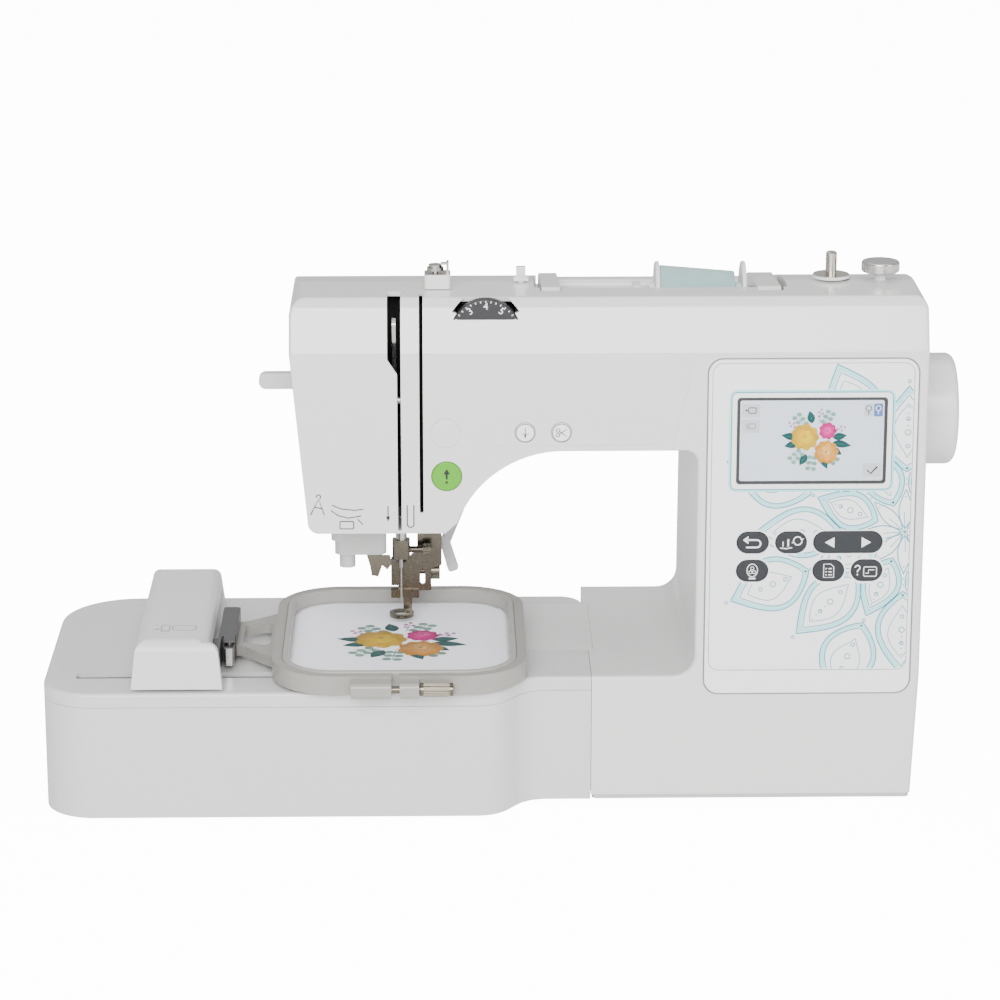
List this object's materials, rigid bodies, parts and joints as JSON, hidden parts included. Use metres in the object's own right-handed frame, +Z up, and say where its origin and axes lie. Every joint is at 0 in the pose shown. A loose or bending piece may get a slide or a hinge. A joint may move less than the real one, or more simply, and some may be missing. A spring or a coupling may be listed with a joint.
{
  "type": "embroidery machine",
  "caption": "Home embroidery machine with a free arm, hoop unit with sliding carriage and hoop, needle head, top spool tray, carry handle, handwheel, keys and colour screen.",
  "frame": {"origin": "centre of the bounding box on the table", "axes": "+X to the right along the front, +Y from the front to the rear, +Z up"},
  "size_m": [0.5038, 0.2091, 0.2996],
  "materials": {
    "shell_white": "gloss",
    "base_grey": "matte",
    "unit_white": "gloss",
    "rubber": "matte",
    "cast_alloy": "as cast",
    "steel": "satin",
    "chrome": "polished",
    "dark_plastic": "satin",
    "clear_plastic": "clear",
    "start_green": "gloss",
    "button_white": "gloss",
    "key_grey": "matte",
    "screen_glass": "gloss",
    "spool_plastic": "gloss",
    "thread_teal": "matte",
    "hoop_beige": "satin",
    "fabric": "woven"
  },
  "bodies": {
    "machine": {"front_cover": "shell_white", "rear_cover": "shell_white", "top_cover": "shell_white", "base_tray": "base_grey", "rubber_feet": "rubber", "case_screws": "steel", "arm_frame": "cast_alloy", "pivot_pins": "steel", "drive_belts": "rubber", "main_motor": "steel", "bobbin_case": "dark_plastic", "free_arm": "shell_white", "needle_plate": "steel", "thread_guides": "shell_white", "control_panel": "button_white", "display_module": "screen_glass", "power_inlet": "dark_plastic", "spool_holder": "spool_plastic", "winder_stop": "chrome"},
    "upper_drive": {"upper_shaft": "steel", "shaft_pulleys": "dark_plastic", "handwheel": "shell_white"},
    "motor_shaft": {"motor_pulley": "dark_plastic"},
    "lower_drive": {"lower_shaft": "steel"},
    "hook": {"rotary_hook": "steel"},
    "bobbin": {"bobbin": "clear_plastic"},
    "needle_bar": {"needle_bar": "steel", "needle_clamp": "steel", "needle": "steel"},
    "presser": {"presser_bar": "steel", "embroidery_foot": "steel"},
    "presser_lever": {"presser_lever": "shell_white"},
    "take_up": {"take_up_lever": "steel"},
    "threader": {"threader_lever": "shell_white"},
    "dial": {"tension_dial": "dark_plastic"},
    "start_button": {"start_button": "start_green"},
    "needle_position_button": {"needle_position_button": "button_white"},
    "thread_cutter_button": {"thread_cutter_button": "button_white"},
    "key_back": {"key_back": "key_grey"},
    "key_foot": {"key_foot": "key_grey"},
    "key_arrows": {"key_arrows": "key_grey"},
    "key_machine": {"key_machine": "key_grey"},
    "key_list": {"key_list": "key_grey"},
    "key_help": {"key_help": "key_grey"},
    "power_switch": {"power_switch": "dark_plastic"},
    "spool": {"thread_spool": "thread_teal"},
    "handle": {"carry_handle": "shell_white"},
    "winder_carrier": {"winder_carrier": "shell_white"},
    "winder_shaft": {"winder_shaft": "steel"},
    "unit": {"unit_lower_case": "unit_white", "unit_top_cover": "unit_white", "unit_feet": "rubber"},
    "carriage": {"carriage_cover": "unit_white", "carriage_chassis": "cast_alloy"},
    "hoop": {"hoop_holder": "dark_plastic", "hoop_outer_ring": "hoop_beige", "hoop_inner_ring": "hoop_beige", "hoop_fabric": "fabric"},
    "lock_lever": {"hoop_lock_lever": "dark_plastic"},
    "hoop_screw": {"hoop_screw": "steel"}
  },
  "joints": [
    {"name": "handwheel_turn", "type": "hinge", "parent": "machine", "child": "upper_drive", "pos_m": [0.22955, 0.00025, 0.2092], "axis": [1, 0, 0], "continuous": true},
    {"name": "motor_turn", "type": "hinge", "parent": "machine", "child": "motor_shaft", "pos_m": [0.17155, 0.01125, 0.1002], "axis": [1, 0, 0], "continuous": true},
    {"name": "lower_shaft_turn", "type": "hinge", "parent": "machine", "child": "lower_drive", "pos_m": [0.10555, 0.01825, 0.0412], "axis": [1, 0, 0], "continuous": true},
    {"name": "hook_turn", "type": "hinge", "parent": "machine", "child": "hook", "pos_m": [-0.05605, 0.00375, 0.0502], "axis": [0, 0, 1], "continuous": true},
    {"name": "bobbin_turn", "type": "hinge", "parent": "machine", "child": "bobbin", "pos_m": [-0.05605, 0.00375, 0.0502], "axis": [0, 0, 1], "continuous": true},
    {"name": "needle_bar_travel", "type": "slide", "parent": "machine", "child": "needle_bar", "axis": [0, 0, 1], "range_m": [-0.028, 0]},
    {"name": "presser_bar_travel", "type": "slide", "parent": "machine", "child": "presser", "axis": [0, 0, 1], "range_m": [0, 0.008]},
    {"name": "presser_lever_lift", "type": "hinge", "parent": "machine", "child": "presser_lever", "pos_m": [-0.03205, 0.04035, 0.1664], "axis": [0, 1, 0], "range_deg": [-30, 0]},
    {"name": "take_up_swing", "type": "hinge", "parent": "machine", "child": "take_up", "pos_m": [-0.05825, -0.02925, 0.2228], "axis": [1, 0, 0], "range_deg": [0, 12]},
    {"name": "threader_travel", "type": "slide", "parent": "machine", "child": "threader", "axis": [0, 0, 1], "range_m": [-0.024, 0]},
    {"name": "tension_dial_turn", "type": "hinge", "parent": "machine", "child": "dial", "pos_m": [-0.00885, -0.05275, 0.2662], "axis": [0, 1, 0], "range_deg": [-150, 150]},
    {"name": "start_button_press", "type": "slide", "parent": "machine", "child": "start_button", "axis": [0, 1, 0], "range_m": [0, 0.0012], "stiffness_N_per_m": 400},
    {"name": "needle_position_button_press", "type": "slide", "parent": "machine", "child": "needle_position_button", "axis": [0, 1, 0], "range_m": [0, 0.0012], "stiffness_N_per_m": 400},
    {"name": "thread_cutter_button_press", "type": "slide", "parent": "machine", "child": "thread_cutter_button", "axis": [0, 1, 0], "range_m": [0, 0.0012], "stiffness_N_per_m": 400},
    {"name": "key_back_press", "type": "slide", "parent": "machine", "child": "key_back", "axis": [0, 1, 0], "range_m": [0, 0.0007], "stiffness_N_per_m": 400},
    {"name": "key_foot_press", "type": "slide", "parent": "machine", "child": "key_foot", "axis": [0, 1, 0], "range_m": [0, 0.0007], "stiffness_N_per_m": 400},
    {"name": "key_machine_press", "type": "slide", "parent": "machine", "child": "key_machine", "axis": [0, 1, 0], "range_m": [0, 0.0007], "stiffness_N_per_m": 400},
    {"name": "key_list_press", "type": "slide", "parent": "machine", "child": "key_list", "axis": [0, 1, 0], "range_m": [0, 0.0007], "stiffness_N_per_m": 400},
    {"name": "key_help_press", "type": "slide", "parent": "machine", "child": "key_help", "axis": [0, 1, 0], "range_m": [0, 0.0007], "stiffness_N_per_m": 400},
    {"name": "key_arrows_rock", "type": "hinge", "parent": "machine", "child": "key_arrows", "pos_m": [0.18805, -0.06025, 0.1509], "axis": [0, 0, 1], "range_deg": [-2, 2], "stiffness_Nm_per_rad": 0.4},
    {"name": "power_switch_rock", "type": "hinge", "parent": "machine", "child": "power_switch", "pos_m": [0.22405, 0.06875, 0.06], "axis": [0, 1, 0], "range_deg": [-8, 0]},
    {"name": "spool_turn", "type": "hinge", "parent": "machine", "child": "spool", "pos_m": [0.08635, 0.00625, 0.2748], "axis": [1, 0, 0], "continuous": true},
    {"name": "handle_swing", "type": "hinge", "parent": "machine", "child": "handle", "pos_m": [0.02195, -0.01875, 0.2783], "axis": [1, 0, 0], "range_deg": [0, 92]},
    {"name": "winder_engage", "type": "slide", "parent": "machine", "child": "winder_carrier", "axis": [1, 0, 0], "range_m": [0, 0.005]},
    {"name": "winder_turn", "type": "hinge", "parent": "winder_carrier", "child": "winder_shaft", "pos_m": [0.18155, -0.00375, 0.2848], "axis": [0, 0, 1], "continuous": true},
    {"name": "unit_removal", "type": "slide", "parent": "machine", "child": "unit", "axis": [1, 0, 0], "range_m": [-0.24, 0]},
    {"name": "carriage_travel", "type": "slide", "parent": "unit", "child": "carriage", "axis": [1, 0, 0], "range_m": [-0.05, 0.05]},
    {"name": "hoop_travel", "type": "slide", "parent": "carriage", "child": "hoop", "axis": [0, 1, 0], "range_m": [-0.0124, 0.0876]},
    {"name": "lock_lever_swing", "type": "hinge", "parent": "hoop", "child": "lock_lever", "pos_m": [-0.15065, -0.04325, 0.0828], "axis": [0, 0, 1], "range_deg": [0, 60]},
    {"name": "hoop_screw_turn", "type": "hinge", "parent": "hoop", "child": "hoop_screw", "pos_m": [-0.05655, -0.10005, 0.0801], "axis": [1, 0, 0], "continuous": true}
  ],
  "couplings": [
    {"joint": "motor_turn", "follows": "handwheel_turn", "ratio": 3.4286},
    {"joint": "lower_shaft_turn", "follows": "handwheel_turn", "ratio": 1},
    {"joint": "hook_turn", "follows": "handwheel_turn", "ratio": 2}
  ]
}
